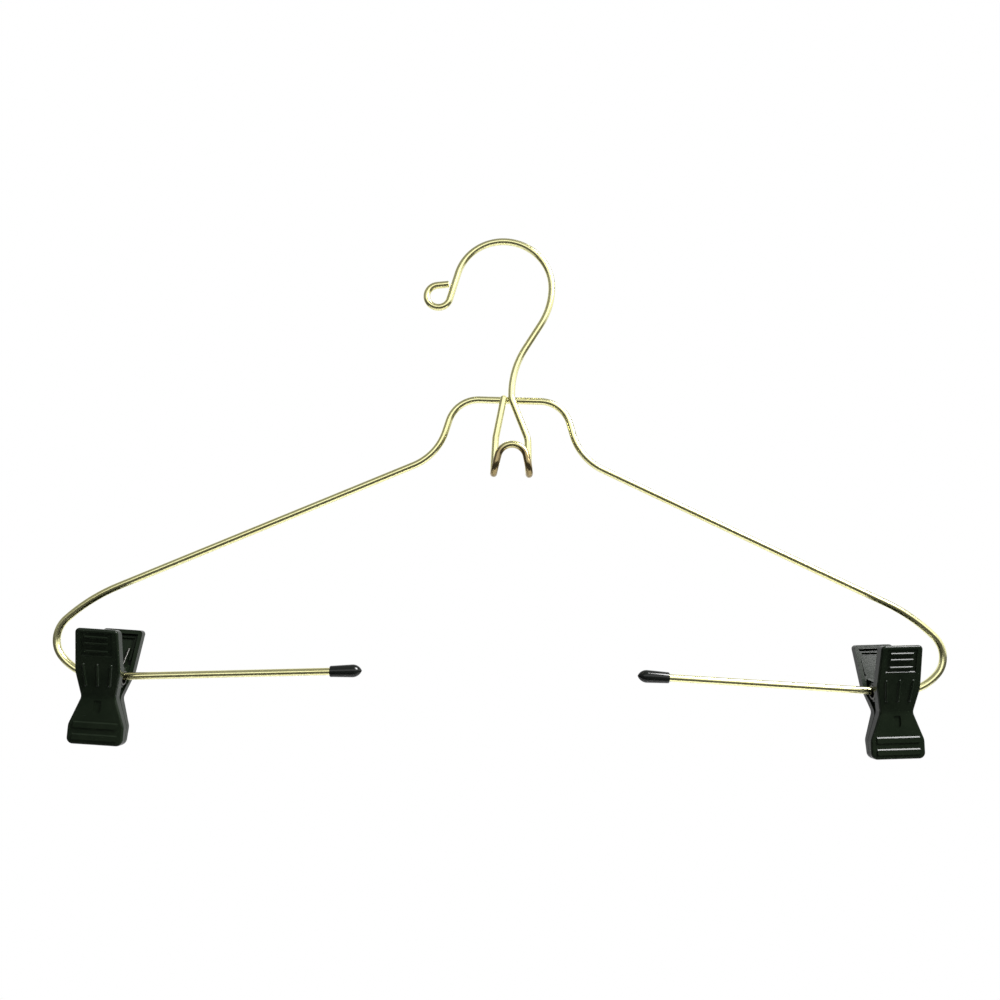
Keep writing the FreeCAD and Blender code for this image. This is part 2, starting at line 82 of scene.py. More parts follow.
# How finely the shapes are drawn
HAIR = 0.016 * MM
WELD_DISTANCE = 0.001 * MM
SHARP_CORNER = math.radians(32)
ARC_STEP = 2.5
FEWEST_PIECES = 4
LONG_RUN_PIECES = 24
TURNED_SIDES = 48
SPRING_SIDES = 16
COIL_STEPS = 36
LEG_STEPS = 8
NOSE_STEPS = 16
LIP_STEPS = 7
RIM_STEPS = 9
FLAT_FACE_WEIGHT = 100

# No run of the hook wire heads this way, so its rings can be squared to it all along
HOOK_GUIDE = np.array([0.6, 0.8, 0.0])

# Finishes: roughness of the two steels, and where the painted brown reflection covers the lower hook's
# front, on the Y and Z axes
TUBE_ROUGHNESS = 0.22
SPRING_ROUGHNESS = 0.3
REFLECTION_FORWARD = (-2 * MM, -6 * MM)
REFLECTION_BELOW = (-106.5 * MM, -111.5 * MM)

# Colour sockets of the mix node, which also has sockets for numbers and vectors
MIX_FACTOR, MIX_FIRST, MIX_SECOND, MIX_RESULT = 0, 6, 7, 2

# The studio, in metres and watts
STAGE_WIDTH = (-1.4, 1.4)
FLOOR_FRONT = -0.30
BACKDROP_PLACE = 1.0
BACKDROP_TOP = 1.3
HORIZON = (-0.1, 0.25)
SENSOR_WIDTH = 36.0
CLIP_START = 0.01
SOFTBOXES = {
    "front_softbox": {"place": (0.30, -1.40, 0.30), "size": (3.2, 0.75), "power": 9.5},
    "side_softbox": {"place": (1.35, 0.1, 0.15), "size": (1.2, 0.7), "power": 2.6},
    "key_softbox": {"place": (0.66, -0.46, 0.63), "size": (0.44, 0.66), "power": 34.0},
}
WHITE = (1.0, 1.0, 1.0, 1.0)
PAPER_GRAIN = (0.8, 0.8, 0.8, 1.0)


# Properties

def length(name, description, millimetres):
    """A size property in metres, written in millimetres."""
    return FloatProperty(name=name, description=description, default=millimetres * MM, min=0.0,
                         unit="LENGTH", precision=5)


def angle(name, description, degrees):
    """An angle property, written in degrees."""
    return FloatProperty(name=name, description=description, default=math.radians(degrees),
                         subtype="ANGLE", unit="ROTATION")


def colour(name, description, rgb):
    """A colour property with three channels."""
    return FloatVectorProperty(name=name, description=description, default=rgb, size=3, min=0.0, max=1.0,
                               subtype="COLOR")


class HangerWire(bpy.types.PropertyGroup):
    """Sizes of the frame wire and the hook wire"""
    diameter: length("Wire diameter", "Thickness of both wires", 3.5)
    weld_gap: length("Weld gap", "Room between the hook wire and the top bar", 0.15)
    cut_bevel: length("Cut bevel", "Bevel round a cut end", 0.3)
    sides: IntProperty(name="Sides", description="Faces round the wire", default=32, min=8, max=96)

    overall_width: length("Overall width", "From end bend to end bend", 432.0)
    top_flat: length("Top flat", "Straight part of the top bar", 30.9)
    top_bend: length("Top bend", "Bend radius beside the top bar", 15.6)
    riser_angle: angle("Riser angle", "Slope of the short riser", 73.8)
    riser: length("Riser", "Length of the short riser", 5.9)
    shoulder_bend: length("Shoulder bend", "Bend radius at the top of the shoulder", 28.1)
    shoulder_slope: angle("Shoulder slope", "Slope of the shoulder", 24.28)
    ease_radius: length("Ease radius", "Large radius that leads into the end bend", 77.4)
    ease_slope: angle("Ease slope", "Slope where the end bend starts", 44.88)
    end_bend: length("End bend", "Radius of the end bend", 13.06)
    bar_ease: length("Bar ease", "Radius that leads from the end bend to the bar", 27.63)
    bar_ease_turn: angle("Bar ease turn", "Turn of that easier bend", 50.44)
    bar_rise: angle("Bar rise", "Rise of the lower bars towards the middle", 2.46)
    bar_opening: length("Bar opening", "Gap between the noses of the two tips", 132.6)
    opening_shift: length("Opening shift", "How far that gap lies left of the frame's middle", 2.1)

    hook_radius: length("Hook radius", "Radius of the hook's crown", 24.6)
    heel_radius: length("Heel radius", "Radius below the hook's far side", 38.8)
    neck_slant: angle("Neck slant", "Slant of the neck from upright", 30.7)
    neck_bend: length("Neck bend", "Radius of the neck's lower bend", 45.0)
    neck_offset: length("Neck offset", "From the crown to the neck, along the hanger", 5.0)
    neck_shift: length("Neck shift", "From the middle of the frame to the neck", 0.64)
    neck_straight: length("Neck straight", "Upright part of the neck", 3.1)
    lip_slant: angle("Lip slant", "Slant of the hook's open side", 15.2)
    lip: length("Lip", "Straight part of the hook's open side", 14.7)
    curl_radius: length("Curl radius", "Radius of the curled eye", 5.93)
    curl_turn: angle("Curl turn", "Turn of the curled eye", 247.2)
    curl_end: length("Curl end", "Straight end of the curled eye", 6.0)

    leg_bend: length("Leg bend", "Bend radius of the legs", 10.0)
    leg_spread: length("Leg spread", "How far the right leg moves out", 8.53)
    leg_drop: length("Leg drop", "Height over which it moves out", 20.6)
    leg_tilt: angle("Leg tilt", "Lean of the lower legs", 2.1)
    cascade_depth: length("Lower hook depth", "From the top bar to the bottom of the lower hook", 39.4)
    j_radius: length("Lower hook radius", "Bend radius of the lower hook", 5.2)
    j_width: length("Lower hook width", "From leg to leg at the bottom", 17.4)
    arch_lean: angle("Arch lean", "Lean of the arch's sides", 12.7)
    arch_straight: length("Arch straight", "Straight part of the arch's sides", 3.1)
    knee: length("Knee height", "From the bottom to the left leg's bend", 19.0)
    leg_gap: length("Leg gap", "Room between the neck and the left leg's end", 0.4)
    leg_end: length("Leg end", "How far the left leg runs past the bar's middle", 0.8)


class HangerFittings(bpy.types.PropertyGroup):
    """Sizes of the tips, the pivot tubes and the springs"""
    tip_length: length("Tip length", "Whole length of a vinyl tip", 15.3)
    tip_diameter: length("Tip diameter", "Widest part of a tip", 6.1)
    tip_nose: length("Tip nose", "Length of a tip's nose", 4.5)
    tip_lip: length("Tip lip", "Diameter at a tip's open end", 5.3)
    tip_wall: length("Tip end wall", "Vinyl in front of the wire's cut end", 2.5)
    tip_round: length("Lip round", "Rounding of a tip's open end", 0.5)
    tip_clearance: length("Tip clearance", "Room between a tip's bore and the wire", 0.05)

    tube_clearance: length("Tube clearance", "Room between a tube and the bar", 0.93)
    tube_wall: length("Tube wall", "Wall of a pivot tube", 0.4)
    tube_half: length("Tube half length", "From a tube's middle to its end", 8.95)
    flange_radius: length("Flange radius", "Radius of a tube's flange", 3.45)
    flange: length("Flange", "Thickness of a tube's flange", 0.5)

    spring_wire: length("Spring wire", "Thickness of the spring wire", 1.2)
    spring_gap: length("Spring gap", "Room between a coil and its tube", 0.3)
    spring_pitch: length("Spring pitch", "Advance of a coil in one turn", 1.75)
    spring_turns: IntProperty(name="Turns", description="Whole turns of a coil", default=4,
                              min=1, max=12)
    spring_bevel: length("Spring bevel", "Bevel round a spring's cut end", 0.15)
    spring_leg: length("Spring leg", "Length of a spring's straight leg", 17.0)
    spring_lean: angle("Leg lean", "Lean of a spring's legs from upright", 25.97)


class HangerFinish(bpy.types.PropertyGroup):
    """Colours of the hanger's materials"""
    plating: colour("Plating", "Pale brass plating of the wires", (0.82, 0.80, 0.43))
    plating_warm: colour("Worn plating", "Deeper tone in the plating's faint clouds", (0.77, 0.72, 0.34))
    # Painted reflection: the dark brown painted on the lower hook's front
    reflection_brown: colour("Painted reflection", "Tone of the lower hook's front", (0.20, 0.13, 0.06))
    clip: colour("Clip plastic", "Black plastic of the clips", (0.0064, 0.0104, 0.0056))
    clip_bloom: colour("Clip bloom", "Faint bloom on the clip plastic", (0.0096, 0.0144, 0.0080))
    vinyl: colour("Vinyl", "Black vinyl of the tips", (0.006, 0.007, 0.006))
    steel: colour("Steel", "Blackened steel of the tubes", (0.10, 0.10, 0.09))
    spring: colour("Spring steel", "Dark drawn wire of the springs", (0.06, 0.06, 0.055))


class HangerStage(bpy.types.PropertyGroup):
    """Camera, light and backdrop"""
    distance: length("Camera distance", "From the camera to the hanger", 420.0)
    focal: FloatProperty(name="Focal length", description="Camera lens", default=30.444, min=1.0)
    aim_x: FloatProperty(name="Aim X", description="Point in the middle of the picture", default=0.00039,
                         unit="LENGTH", precision=5)
    aim_z: FloatProperty(name="Aim Z", description="Point in the middle of the picture", default=-0.13305,
                         unit="LENGTH", precision=5)
    roll: angle("Roll", "Tilt of the hanger in the picture", 1.2021)
    pitch: angle("Pitch", "Nod of the camera", -9.1)
    yaw: angle("Yaw", "Turn of the camera", 1.3066)
    room: FloatProperty(name="Room light", description="Strength above the horizon", default=0.32,
                        min=0.0)
    ground: FloatProperty(name="Ground light", description="Strength below the horizon", default=0.10,
                          min=0.0)
    floor_height: FloatProperty(name="Floor height", description="Height of the floor", default=-0.90,
                                unit="LENGTH")
    backdrop: colour("Backdrop", "Floor and backdrop", (0.85, 0.85, 0.85))


# Shader expressions

class Field:
    """A shader socket that arithmetic can be written with."""

    def __init__(self, paint, socket):
        self.paint = paint
        self.socket = socket

    def _math(self, operation, a, b):
        return self.paint.node("ShaderNodeMath", {"operation": operation}, {0: a, 1: b})

    def __add__(self, other):
        return self._math("ADD", self, other)

    def __radd__(self, other):
        return self._math("ADD", other, self)

    def __mul__(self, other):
        return self._math("MULTIPLY", self, other)

    def __rmul__(self, other):
        return self._math("MULTIPLY", other, self)


class Paint:
    """A material's node tree, started empty."""

    def __init__(self, tree):
        self.tree = tree
        tree.nodes.clear()

    def node(self, kind, settings=None, sockets=None, output=0):
        """Add a node, set it up, fill or link its inputs and return one output."""
        made = self.tree.nodes.new(kind)
        for key, value in (settings or {}).items():
            setattr(made, key, value)
        for key, value in (sockets or {}).items():
            if isinstance(value, Field):
                self.tree.links.new(value.socket, made.inputs[key])
            else:
                made.inputs[key].default_value = value
        return Field(self, made.outputs[output]) if made.outputs else None

    def mix(self, factor, first, second):
        """Mix two colours."""
        return self.node("ShaderNodeMix", {"data_type": "RGBA"},
                         {MIX_FACTOR: factor, MIX_FIRST: first, MIX_SECOND: second}, MIX_RESULT)

    def noise(self, vector, scale, detail=3.0, roughness=0.5):
        """Noise between 0 and 1."""
        return self.node("ShaderNodeTexNoise", None,
                         {"Vector": vector, "Scale": scale, "Detail": detail, "Roughness": roughness})

    def stretch(self, vector, scale):
        """Scale a vector along its axes."""
        return self.node("ShaderNodeMapping", None, {"Vector": vector, "Scale": scale})

    def ramp(self, value, low, high):
        """Rise from 0 to 1 between two values."""
        return self.node("ShaderNodeMapRange", {"interpolation_type": "SMOOTHSTEP"},
                         {"Value": value, "From Min": low, "From Max": high})

    def bump(self, height, strength, distance):
        """Normal of a fine relief."""
        return self.node("ShaderNodeBump", None,
                         {"Height": height, "Strength": strength, "Distance": distance})

    def object_place(self):
        """Place on the object, in metres."""
        return self.node("ShaderNodeTexCoord", None, None, "Object")

    def axis(self, vector, name):
        """One of a vector's three numbers."""
        return self.node("ShaderNodeSeparateXYZ", None, {"Vector": vector}, name)

    def uv(self, name):
        """Place on a UV map."""
        return self.node("ShaderNodeUVMap", {"uv_map": name})

    def surface(self, sockets):
        """Principled surface, joined to the output."""
        shader = self.node("ShaderNodeBsdfPrincipled", None, sockets)
        self.node("ShaderNodeOutputMaterial", None, {"Surface": shader})


def rgba(rgb, share=1.0):
    """Four channels of a colour, or of a share of it."""
    return (rgb[0] * share, rgb[1] * share, rgb[2] * share, 1.0)


def new_material(name):
    """Empty material and the paint for it."""
    material = bpy.data.materials.new(name)
    material.use_nodes = True
    return material, Paint(material.node_tree)


def plated_material(name, finish):
    """Polished plating: faint clouds, fine drawing lines and a painted brown reflection on the lower
    hook's front.
    """
    material, paint = new_material(name)
    place = paint.object_place()
    along = paint.uv("wire")
    clouds = paint.noise(place, scale=55.0, detail=4.0)
    lines = paint.noise(paint.stretch(along, (90.0, 5200.0, 1.0)), scale=1.0)
    specks = paint.ramp(paint.noise(place, scale=900.0, detail=2.0), low=0.64, high=0.74)
    worn = paint.ramp(clouds, low=0.38, high=0.68) * 0.6
    tone = paint.mix(worn, rgba(finish.plating), rgba(finish.plating_warm))
    # Painted reflection: the lower hook's front is painted dark brown, standing in for the dark
    # surroundings the wire mirrors
    forward = paint.ramp(paint.axis(place, "Y"), *REFLECTION_FORWARD)
    below = paint.ramp(paint.axis(place, "Z"), *REFLECTION_BELOW)
    reflection_mask = forward * below * 0.85
    paint.surface({
        "Base Color": paint.mix(reflection_mask, tone, rgba(finish.reflection_brown)),
        "Metallic": 1.0,
        "Roughness": 0.17 + clouds * 0.06 + specks * 0.05,
        "Normal": paint.bump(lines, strength=0.02, distance=0.02 * MM),
    })
    return material


def weld_material(name, finish):
    """Plated weld metal, rougher and darker than the drawn wire."""
    material, paint = new_material(name)
    place = paint.object_place()
    grain = paint.noise(place, scale=1500.0, detail=4.0)
    burnt = paint.ramp(grain, low=0.35, high=0.7)
    paint.surface({
        "Base Color": paint.mix(burnt, rgba(finish.plating_warm), rgba(finish.plating, share=0.55)),
        "Metallic": 1.0,
        "Roughness": 0.32 + grain * 0.2,
        "Normal": paint.bump(grain, strength=0.35, distance=0.1 * MM),
    })
    return material


def clip_material(name, finish):
    """Moulded black plastic: glossy skin, a faint bloom and fine spark texture."""
    material, paint = new_material(name)
    place = paint.object_place()
    bloom = paint.noise(place, scale=70.0, detail=4.0, roughness=0.6)
    spark = paint.noise(place, scale=2600.0, detail=2.0)
    strokes = paint.noise(paint.stretch(place, (260.0, 260.0, 1500.0)), scale=1.0)
    scuffs = paint.ramp(strokes, low=0.62, high=0.75)
    dull = paint.ramp(bloom, low=0.35, high=0.75)
    paint.surface({
        "Base Color": paint.mix(dull, rgba(finish.clip), rgba(finish.clip_bloom)),
        "Roughness": 0.14 + bloom * 0.08 + scuffs * 0.10,
        "Specular IOR Level": 0.16,
        "Normal": paint.bump(spark + bloom * 0.6, strength=0.03, distance=0.1 * MM),
    })
    return material


def vinyl_material(name, finish):
    """Soft dipped vinyl: glossy, with a faint orange peel."""
    material, paint = new_material(name)
    place = paint.object_place()
    peel = paint.noise(place, scale=420.0, detail=2.0)
    dust = paint.ramp(paint.noise(place, scale=1800.0, detail=2.0), low=0.66, high=0.8)
    paint.surface({
        "Base Color": paint.mix(dust * 0.5, rgba(finish.vinyl), rgba(finish.vinyl, share=3.0)),
        "Roughness": 0.10 + peel * 0.08 + dust * 0.08,
        "Specular IOR Level": 0.3,
        "Normal": paint.bump(peel, strength=0.12, distance=0.2 * MM),
    })
    return material


def steel_material(name, steel, roughness):
    """Steel with lines along the drawn or rolled surface."""
    material, paint = new_material(name)
    place = paint.object_place()
    along = paint.uv("wire")
    lines = paint.noise(paint.stretch(along, (160.0, 6000.0, 1.0)), scale=1.0)
    clouds = paint.noise(place, scale=300.0)
    paint.surface({
        "Base Color": paint.mix(clouds, rgba(steel), rgba(steel, share=0.8)),
        "Metallic": 1.0,
        "Roughness": roughness + lines * 0.12,
        "Normal": paint.bump(lines, strength=0.10, distance=0.05 * MM),
    })
    return material


# Surfaces

class BentWire:
    """Centreline of a bent wire, kept as arrays of points and unit headings."""

    def __init__(self, start, heading):
        self.points = np.array([start], dtype=float)
        self.headings = np.array([heading], dtype=float)

    def _extend(self, points, headings):
        self.points = np.vstack([self.points, points])
        self.headings = np.vstack([self.headings, headings])
        return self

    def run(self, distance, pieces=FEWEST_PIECES):
        """Straight run: p(t) = p0 + t h."""
        t = np.linspace(0.0, distance, pieces + 1)[1:, None]
        heading = self.headings[-1]
        return self._extend(self.points[-1] + t * heading, np.repeat(heading[None], pieces, axis=0))

    def bend(self, radius, turn, toward):
        """Tangent arc: p(a) = c - r cos(a) n + r sin(a) h, with c one radius along the unit vector n."""
        pieces = max(math.ceil(math.degrees(turn) / ARC_STEP), FEWEST_PIECES)
        a = np.linspace(0.0, turn, pieces + 1)[1:, None]
        heading = self.headings[-1]
        centre = self.points[-1] + radius * toward
        points = centre - radius * np.cos(a) * toward + radius * np.sin(a) * heading
        return self._extend(points, np.cos(a) * heading + np.sin(a) * toward)

    @property
    def end(self):
        """Last point."""
        return self.points[-1]


def in_plane(turn):
    """Unit vector in the hanger's plane, at an angle up from X."""
    return np.array([math.cos(turn), 0.0, math.sin(turn)])


def hook_to_neck(wire):
    """Crown, heel, slant and lower neck bend of the hook wire."""
    path = BentWire(Z * wire.diameter / 2, X)
    path.bend(wire.hook_radius, math.pi / 2, -Z)
    path.bend(wire.heel_radius, wire.neck_slant, -X)
    bend_width = wire.neck_bend * (1 - math.cos(wire.neck_slant))
    path.run((path.end[0] - bend_width - wire.neck_offset) / math.sin(wire.neck_slant))
    return path.bend(wire.neck_bend, wire.neck_slant, in_plane(-wire.neck_slant))


def frame_middle(wire):
    """Middle of the top bar."""
    height = hook_to_neck(wire).end[2] - wire.neck_straight
    return np.array([wire.neck_offset - wire.neck_shift, wire.diameter + wire.weld_gap, height])


def hook_lip(wire):
    """Open side of the hook, from the crown to the end of the curled eye."""
    path = BentWire(Z * wire.diameter / 2, -X)
    path.bend(wire.hook_radius, math.pi / 2 - wire.lip_slant, -Z)
    path.run(wire.lip)
    path.bend(wire.curl_radius, wire.curl_turn, in_plane(math.pi - wire.lip_slant))
    return path.run(wire.curl_end)


def add_right_leg(path, wire, bottom):
    """Neck past the top bar, then the right leg out and down to the lower hook."""
    spread = math.atan2(wire.leg_spread, wire.leg_drop)
    first = wire.leg_bend * math.tan(spread / 2)
    turn = spread - wire.leg_tilt
    second = wire.leg_bend * math.tan(turn / 2)
    path.run(wire.neck_straight - first)
    path.bend(wire.leg_bend, spread, X)
    path.run(math.hypot(wire.leg_spread, wire.leg_drop) - first - second)
    path.bend(wire.leg_bend, turn, in_plane(math.pi + spread))
    j_start = bottom + wire.j_radius * math.cos(wire.leg_tilt)
    path.run((path.end[2] - j_start) / math.cos(wire.leg_tilt))


def add_lower_hook(path, wire):
    """Forward bend of the right leg, the arch, and the bend back into the left leg."""
    path.bend(wire.j_radius, math.pi / 2, -Y)
    middle = path.end[0] - wire.j_width / 2
    path.bend(wire.j_radius, math.pi / 2, in_plane(math.pi / 2 + wire.arch_lean))
    path.run(wire.arch_straight)
    arch = (path.end[0] - middle) / math.cos(wire.arch_lean)
    path.bend(arch, math.pi - 2 * wire.arch_lean, in_plane(math.pi + wire.arch_lean))
    path.run(wire.arch_straight)
    path.bend(wire.j_radius, math.pi / 2, Y)
    path.bend(wire.j_radius, math.pi / 2, in_plane(math.pi / 2 - wire.leg_tilt))


def add_left_leg(path, wire, bottom, bar_height):
    """Left leg up to its knee, and on to its cut end in front of the top bar."""
    heading = path.headings[-1]
    knee = path.end + heading * ((bottom + wire.knee - path.end[2]) / heading[2])
    goal = np.array([wire.neck_offset - wire.diameter - wire.leg_gap, 0.0, bar_height])
    aim = goal - knee
    turn = math.atan2(aim[0], aim[2]) - wire.leg_tilt
    reach = wire.leg_bend * math.tan(turn / 2)
    path.run(np.linalg.norm(knee - path.end) - reach)
    path.bend(wire.leg_bend, turn, in_plane(-wire.leg_tilt))
    path.run(np.linalg.norm(aim) - reach + wire.leg_end)


def hook_path(wire):
    """Whole hook wire, from the curled eye over the crown to the lower hook and the left leg's end."""
    lip = hook_lip(wire)
    path = hook_to_neck(wire)
    bar_height = path.end[2] - wire.neck_straight
    bottom = bar_height - wire.cascade_depth
    add_right_leg(path, wire, bottom)
    add_lower_hook(path, wire)
    add_left_leg(path, wire, bottom, bar_height)
    points = np.vstack([lip.points[:0:-1], path.points])
    headings = np.vstack([-lip.headings[:0:-1], path.headings])
    return points, headings


def half_frame(wire, fittings, side):
    """Half of the frame wire, from the top bar to the bar's cut end, drawn to the right."""
    middle = frame_middle(wire)

    def shoulder(straight):
        path = BentWire(middle, X)
        path.run(wire.top_flat / 2)
        path.bend(wire.top_bend, wire.riser_angle, -Z)
        path.run(wire.riser)
        path.bend(wire.shoulder_bend, wire.riser_angle - wire.shoulder_slope,
                  in_plane(math.pi / 2 - wire.riser_angle))
        if straight:
            path.run(straight, LONG_RUN_PIECES)
        path.bend(wire.ease_radius, wire.ease_slope - wire.shoulder_slope,
                  in_plane(1.5 * math.pi - wire.shoulder_slope))
        return path

    widest = shoulder(0.0).end[0] + wire.end_bend * (1 - math.sin(wire.ease_slope)) - middle[0]
    room = wire.overall_width / 2 - wire.diameter / 2 - widest
    path = shoulder(room / math.cos(wire.shoulder_slope))
    end_turn = math.pi + wire.bar_rise - wire.ease_slope - wire.bar_ease_turn
    path.bend(wire.end_bend, end_turn, in_plane(1.5 * math.pi - wire.ease_slope))
    path.bend(wire.bar_ease, wire.bar_ease_turn,
              in_plane(math.pi / 2 - wire.bar_rise + wire.bar_ease_turn))
    nose = middle[0] + wire.bar_opening / 2 - side * wire.opening_shift
    bar_end = nose + fittings.tip_wall * math.cos(wire.bar_rise)
    path.run((path.end[0] - bar_end) / math.cos(wire.bar_rise), LONG_RUN_PIECES)
    return path


def frame_path(wire, fittings):
    """Whole frame wire: the left half, mirrored, and the right half, joined at the top bar."""
    left = half_frame(wire, fittings, SIDES["left"])
    right = half_frame(wire, fittings, SIDES["right"])
    middle = frame_middle(wire)
    mirrored = (left.points - middle) * np.array([-1.0, 1.0, 1.0]) + middle
    turned = left.headings * np.array([1.0, 1.0, -1.0])
    points = np.vstack([mirrored[:0:-1], right.points])
    headings = np.vstack([turned[:0:-1], right.headings])
    return points, headings


def carried_rings(points, headings, radii, sides, guide):
    """Rings along a path: p + r (cos a n + sin a b), n the guide square to the heading h, b = h x n."""
    n = guide - (headings @ guide)[:, None] * headings
    n /= np.linalg.norm(n, axis=1)[:, None]
    b = np.cross(headings, n)
    a = np.linspace(0.0, 2 * math.pi, sides, endpoint=False)
    around = np.cos(a)[None, :, None] * n[:, None, :] + np.sin(a)[None, :, None] * b[:, None, :]
    return points[:, None, :] + radii[:, None, None] * around


def ring_mesh(name, rings, along, width):
    """Mesh on a grid of rings, closed round; its UV map holds metres along and around."""
    count, sides = rings.shape[:2]
    i, j = np.meshgrid(np.arange(count - 1), np.arange(sides), indexing="ij")
    k = (j + 1) % sides
    corners = [i * sides + j, i * sides + k, (i + 1) * sides + k, (i + 1) * sides + j]
    faces = np.stack(corners, axis=-1).reshape(-1, 4)
    mesh = bpy.data.meshes.new(name)
    mesh.from_pydata(rings.reshape(-1, 3).tolist(), [], faces.tolist())
    u = np.stack([along[i], along[i], along[i + 1], along[i + 1]], axis=-1).reshape(-1)
    v = (np.stack([j, j + 1, j + 1, j], axis=-1) / sides * width).reshape(-1)
    layer = mesh.uv_layers.new(name="wire")
    layer.data.foreach_set("uv", np.stack([u, v], axis=-1).reshape(-1))
    return close_and_smooth(mesh)


def close_and_smooth(mesh):
    """Weld the poles and seams shut, and shade smooth up to sharp corners."""
    edit = bmesh.new()
    edit.from_mesh(mesh)
    bmesh.ops.remove_doubles(edit, verts=edit.verts, dist=WELD_DISTANCE)
    edit.to_mesh(mesh)
    edit.free()
    mesh.polygons.foreach_set("use_smooth", np.ones(len(mesh.polygons), dtype=bool))
    mesh.set_sharp_from_angle(angle=SHARP_CORNER)
    return mesh


def wire_mesh(name, points, headings, diameter, bevel, sides, guide):
    """Round wire along a path, with bevelled flat ends, a hair thinner than the solid."""
    radius = diameter / 2 - HAIR
    start, end = points[0], points[-1]
    first, last = headings[0], headings[-1]
    points = np.vstack([start, start, start + first * bevel, points[1:-1], end - last * bevel, end, end])
    headings = np.vstack([first, first, first, headings[1:-1], last, last, last])
    radii = np.full(len(points), radius)
    radii[[0, -1]] = 0.0
    radii[[1, -2]] = radius - bevel
    along = np.concatenate([[0.0], np.cumsum(np.linalg.norm(np.diff(points, axis=0), axis=1))])
    rings = carried_rings(points, headings, radii, sides, guide)
    return ring_mesh(name, rings, along, math.pi * diameter)


def turned_mesh(name, origin, axis, places, radii):
    """Turned shape: a profile of radius against distance, carried round a straight axis."""
    points = origin + places[:, None] * axis
    headings = np.repeat(axis[None], len(places), axis=0)
    along = np.concatenate([[0.0], np.cumsum(np.hypot(np.diff(places), np.diff(radii)))])
    rings = carried_rings(points, headings, radii, TURNED_SIDES, Y)
    return ring_mesh(name, rings, along, 2 * math.pi * radii.max())


def add_piece(name, mesh, material):
    """Link a mesh as an object at the origin with one material."""
    piece = bpy.data.objects.new(name, mesh)
    bpy.context.scene.collection.objects.link(piece)
    mesh.materials.clear()
    mesh.materials.append(material)
    return piece


def shared_material(name, build, *details):
    """The material of this name, made on first use."""
    return bpy.data.materials.get(name) or build(name, *details)


def pivot(word):
    """Pivot of a clip and its tube's direction towards +X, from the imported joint."""
    joint = JOINTS[word + "_clip_swing"]
    return np.array(joint["pos_m"]), np.array(joint["axis"])


def tube_radii(wire, fit):
    """Inner and outer radius of a pivot tube."""
    bore = wire.diameter / 2 + fit.tube_clearance
    return bore, bore + fit.tube_wall


# Operators

class HANGER_OT_bend_wires(bpy.types.Operator):
    """Bend the frame wire and the hook wire"""
    bl_idname = "hanger.bend_wires"
    bl_label = "Bend wires"

    def execute(self, context):
        wire = context.scene.hanger_wire
        plated = shared_material("polished_plating", plated_material, context.scene.hanger_finish)
        wires = (
            ("bent_frame", "frame_wire", frame_path(wire, context.scene.hanger_fittings), Y),
            ("bent_hook", "hook_wire", hook_path(wire), HOOK_GUIDE),
        )
        for name, node, (points, headings), guide in wires:
            mesh = wire_mesh(name, points, headings, wire.diameter, wire.cut_bevel, wire.sides, guide)
            piece = add_piece(name, mesh, plated)
            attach(piece, "frame")
            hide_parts(node)
        return {"FINISHED"}


class HANGER_OT_finish_welds(bpy.types.Operator):
    """Finish the weld nuggets between hook and frame"""
    bl_idname = "hanger.finish_welds"
    bl_label = "Finish welds"

    def execute(self, context):
        weld = shared_material("weld_metal", weld_material, context.scene.hanger_finish)
        node = frame["nodes"]["weld_nuggets"]
        node.data.materials.clear()
        node.data.materials.append(weld)
        return {"FINISHED"}


class HANGER_OT_cap_bars(bpy.types.Operator):
    """Put the vinyl tips on the ends of the lower bars"""
    bl_idname = "hanger.cap_bars"
    bl_label = "Cap bars"

    def execute(self, context):
        wire = context.scene.hanger_wire
        fit = context.scene.hanger_fittings
        vinyl = shared_material("dipped_vinyl", vinyl_material, context.scene.hanger_finish)
        middle = frame_middle(wire)
        places, radii = self.profile(wire, fit)
        for word, side in SIDES.items():
            half = half_frame(wire, fit, side)
            mirror = np.array([side, 1.0, 1.0])
            outward = -half.headings[-1] * mirror
            nose = middle + (half.end - middle) * mirror - outward * fit.tip_wall
            mesh = turned_mesh(word + "_vinyl_tip", nose, outward, places, radii)
            piece = add_piece(word + "_vinyl_tip", mesh, vinyl)
            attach(piece, "frame")
            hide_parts(word + "_tip")
        return {"FINISHED"}

    @staticmethod
    def profile(wire, fit):
        """Nose arc r = R cos(a) - (R - c) up to the crown c, a taper, a rounded lip and a blind bore."""
        crown = fit.tip_diameter / 2
        radius = (crown ** 2 + fit.tip_nose ** 2) / (2 * crown)
        sweep = np.linspace(math.asin(fit.tip_nose / radius), 0.0, NOSE_STEPS)
        places = fit.tip_nose - radius * np.sin(sweep)
        radii = crown - radius * (1 - np.cos(sweep))
        radii[0] = 0.0
        lip = fit.tip_lip / 2
        turn = np.linspace(0.0, math.pi / 2, LIP_STEPS)
        places = np.concatenate([places, fit.tip_length - fit.tip_round * (1 - np.sin(turn))])
        radii = np.concatenate([radii, lip - fit.tip_round * (1 - np.cos(turn))])
        bore = wire.diameter / 2 + fit.tip_clearance
        floor = fit.tip_wall - fit.tip_clearance
        places = np.concatenate([places, [fit.tip_length, floor, floor]])
        radii = np.concatenate([radii, [bore, bore, 0.0]])
        return places, radii


